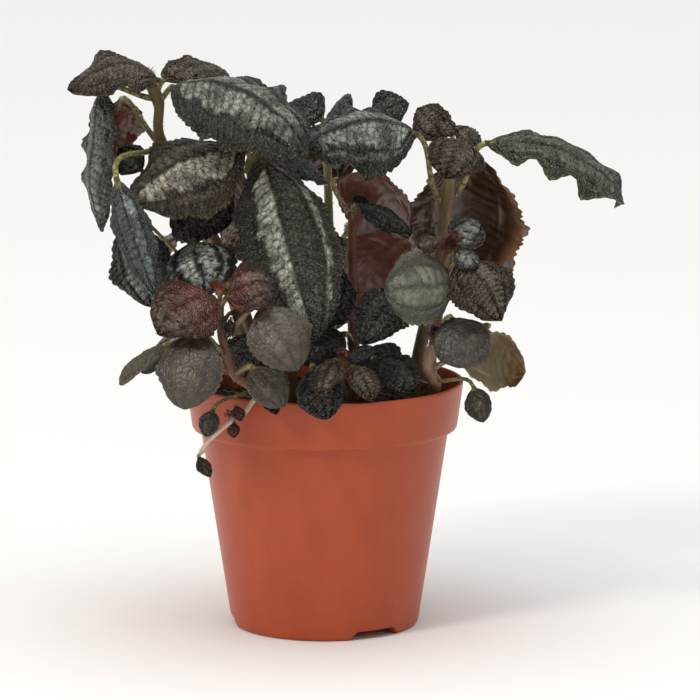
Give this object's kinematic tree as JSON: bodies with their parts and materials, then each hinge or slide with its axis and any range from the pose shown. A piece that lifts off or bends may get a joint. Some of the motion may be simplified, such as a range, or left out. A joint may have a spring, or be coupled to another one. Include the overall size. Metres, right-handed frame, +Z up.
{
  "type": "potted houseplant",
  "caption": "Potted friendship plant: leafy stems with quilted, silver-banded, notched leaves rise from soil in a round tapering terracotta-coloured plastic grower pot with a deep rim.",
  "frame": {"origin": "centre of the pot's foot, on the surface that the pot stands on", "axes": "+Z up along the pot's axis, +X to the right and -Y towards the viewer of the picture"},
  "size_m": [0.2389, 0.1753, 0.2478],
  "materials": {
    "terracotta_plastic": "moulded terracotta-coloured plastic, satin",
    "potting_soil": "near-black peat potting soil, crumbly and matte",
    "stem_skin": "olive-brown hairy stem skin, with yellow-green leaf stalks",
    "leaf_silver": "quilted leaf, dark green with broad silver bands",
    "leaf_bronze": "quilted bronze-brown leaf with silver patches",
    "leaf_dark": "quilted dark green leaf, red-brown beneath",
    "leaf_grey_green": "quilted grey-green leaf",
    "leaf_young_red": "young red-brown leaf"
  },
  "bodies": {
    "root": {"leaf_back_crown_front": "leaf_dark", "leaf_back_crown_left": "leaf_dark", "leaf_back_crown_rear": "leaf_dark", "leaf_back_crown_right": "leaf_dark", "leaf_back_left_low": "leaf_dark", "leaf_back_left_outer": "leaf_dark", "leaf_back_low": "leaf_dark", "leaf_back_mid_left": "leaf_dark", "leaf_back_mid_right": "leaf_dark", "leaf_back_right_low": "leaf_dark", "leaf_back_right_outer": "leaf_dark", "leaf_centre_back": "leaf_dark", "leaf_centre_behind": "leaf_dark", "leaf_centre_broad": "leaf_silver", "leaf_centre_great": "leaf_silver", "leaf_centre_inner": "leaf_dark", "leaf_centre_red": "leaf_dark", "leaf_centre_red_low": "leaf_dark", "leaf_centre_shade": "leaf_dark", "leaf_front_broad": "leaf_bronze", "leaf_front_edge": "leaf_silver", "leaf_front_red": "leaf_young_red", "leaf_front_red_right": "leaf_young_red", "leaf_front_right": "leaf_bronze", "leaf_front_round": "leaf_bronze", "leaf_left_arching": "leaf_silver", "leaf_left_back_shade": "leaf_dark", "leaf_left_crown": "leaf_bronze", "leaf_left_crown_back": "leaf_dark", "leaf_left_hanging": "leaf_dark", "leaf_left_inner": "leaf_silver", "leaf_left_lower": "leaf_dark", "leaf_left_shade": "leaf_dark", "leaf_right_crown": "leaf_bronze", "leaf_right_cupped": "leaf_silver", "leaf_right_dark": "leaf_dark", "leaf_right_hanging": "leaf_dark", "leaf_right_long": "leaf_grey_green", "leaf_right_low": "leaf_bronze", "leaf_right_olive": "leaf_grey_green", "leaf_right_quilted": "leaf_bronze", "leaf_right_round": "leaf_silver", "leaf_rim_dark": "leaf_dark", "leaf_shade_centre": "leaf_dark", "leaf_shade_left": "leaf_dark", "leaf_shade_right": "leaf_dark", "leaf_soil_dark": "leaf_dark", "pot": "terracotta_plastic", "soil": "potting_soil", "stem_back_left": "stem_skin", "stem_back_right": "stem_skin", "stem_back_tall": "stem_skin", "stem_centre": "stem_skin", "stem_centre_left": "stem_skin", "stem_front_left": "stem_skin", "stem_front_small": "stem_skin", "stem_left_tall": "stem_skin", "stem_right_front": "stem_skin", "stem_right_tall": "stem_skin", "stem_runner": "stem_skin"}
  },
  "joints": []
}
